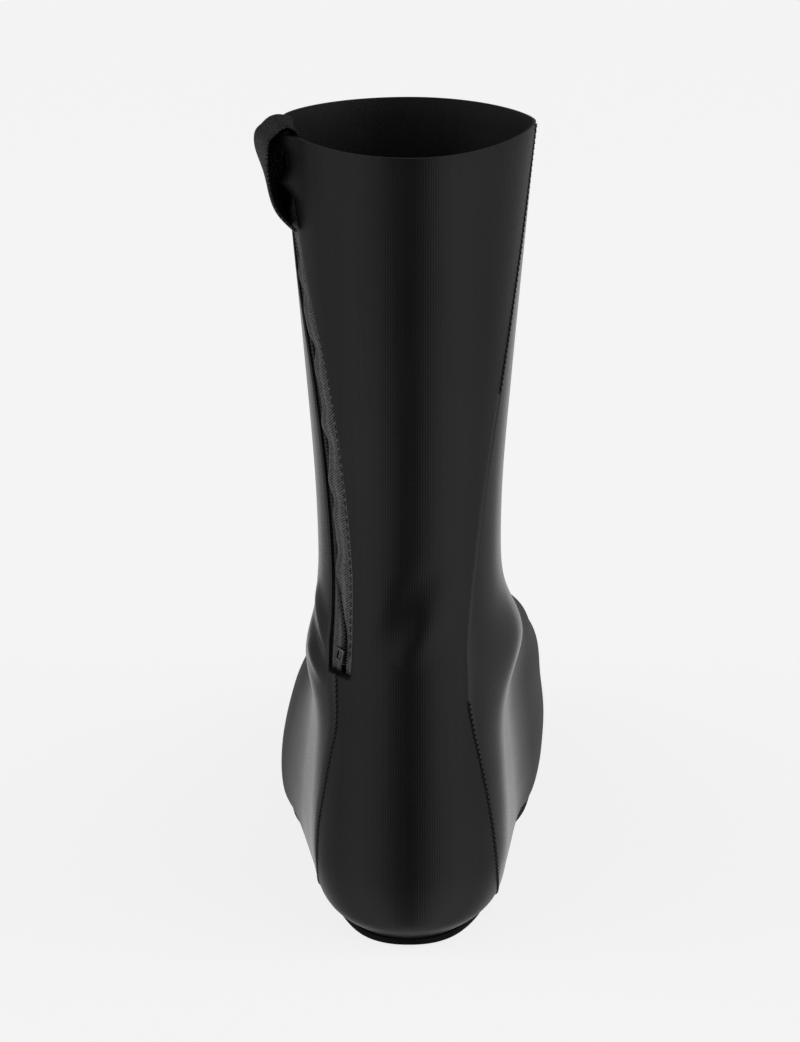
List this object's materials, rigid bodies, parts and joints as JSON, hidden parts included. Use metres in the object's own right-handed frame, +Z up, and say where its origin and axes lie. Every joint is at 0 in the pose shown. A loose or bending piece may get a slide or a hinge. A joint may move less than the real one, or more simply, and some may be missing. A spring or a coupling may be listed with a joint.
{
  "type": "cycling overshoe",
  "caption": "Tall stretch overshoe for a left cycling shoe: hollow upper with an outer side zip and pull loop, on a thin sole panel with cleat and heel openings.",
  "frame": {"origin": "on the floor under the middle of the overshoe's bounding box", "axes": "+Y points to the toe, +X to the inner (medial) side of the left foot, +Z up"},
  "size_m": [0.1073, 0.278, 0.295],
  "materials": {
    "upper": "black stretch cloth, ribbed at the rear and satin coated at the front",
    "sole": "matte black rubberised panel",
    "zip_tape": "black woven tape",
    "zip_coil": "black coil",
    "zip_bottom_stop": "dull grey metal",
    "zip_slider": "dark painted metal",
    "pull_loop": "dark grey webbing"
  },
  "bodies": {
    "overshoe": {"upper": "upper", "sole": "sole", "zip_tape_rear": "zip_tape", "zip_tape_front": "zip_tape", "zip_coil": "zip_coil", "zip_bottom_stop": "zip_bottom_stop", "zip_slider": "zip_slider", "pull_loop": "pull_loop"},
    "pull_tab": {"zip_pull_tab": "zip_slider"}
  },
  "joints": [
    {"name": "tab_swing", "type": "hinge", "parent": "overshoe", "child": "pull_tab", "pos_m": [-0.047, -0.08673, 0.28384], "axis": [0.0078, 0.998, -0.0621], "range_deg": [-6, 12]}
  ]
}
